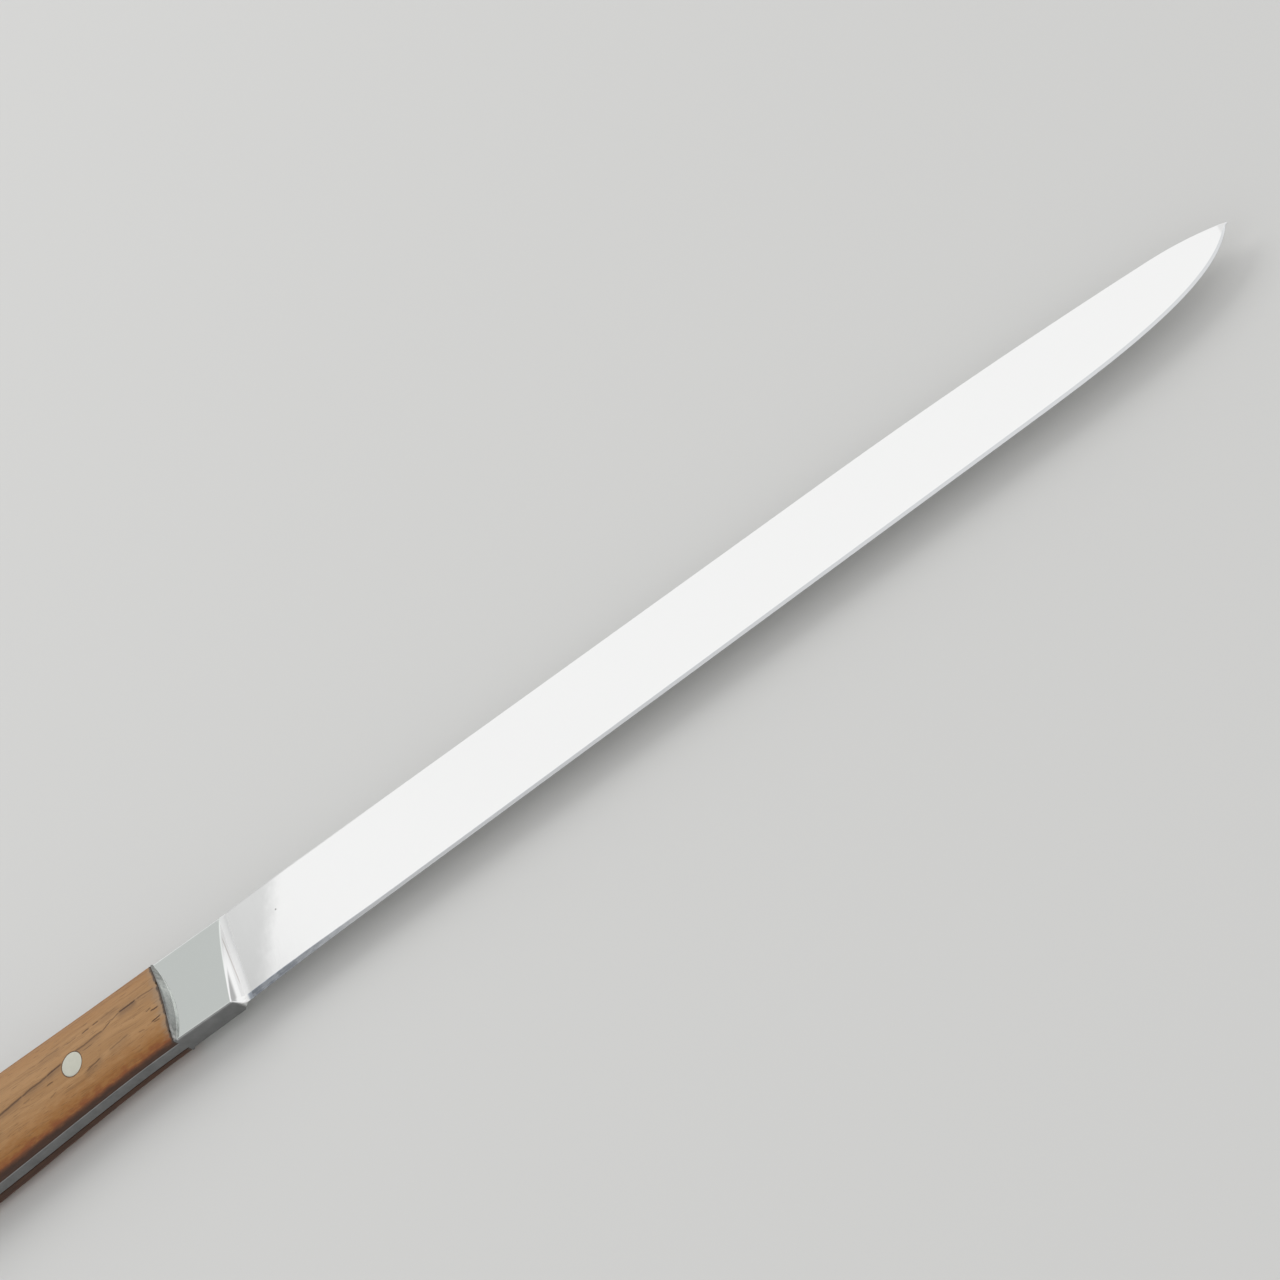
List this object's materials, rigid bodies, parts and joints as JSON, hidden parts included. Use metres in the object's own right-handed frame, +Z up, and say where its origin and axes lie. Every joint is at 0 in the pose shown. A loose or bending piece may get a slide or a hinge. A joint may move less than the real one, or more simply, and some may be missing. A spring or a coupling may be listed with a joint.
{
  "type": "carving knife",
  "caption": "Long slim slicing knife with a flat forged bolster, full tang and domed wooden scales held by flush metal rivets.",
  "frame": {"origin": "under the middle of the whole knife lying on its side, at the lowest point of the lower scale", "axes": "+X along the spine towards the tip, +Y from the edge towards the spine, +Z up out of the flank that carries the tube heads"},
  "size_m": [0.4086, 0.026, 0.0138],
  "materials": {
    "polished_steel": "mirror-polished stainless steel",
    "handle_wood": "smooth oiled open-grained hardwood",
    "rivet_metal": "satin nickel silver, ground flush"
  },
  "bodies": {
    "root": {"blade": "polished_steel", "right_scale": "handle_wood", "left_scale": "handle_wood", "front_rivet_tube": "rivet_metal", "front_rivet_shank": "rivet_metal", "middle_rivet_tube": "rivet_metal", "middle_rivet_shank": "rivet_metal", "rear_rivet_tube": "rivet_metal", "rear_rivet_shank": "rivet_metal"}
  },
  "joints": []
}
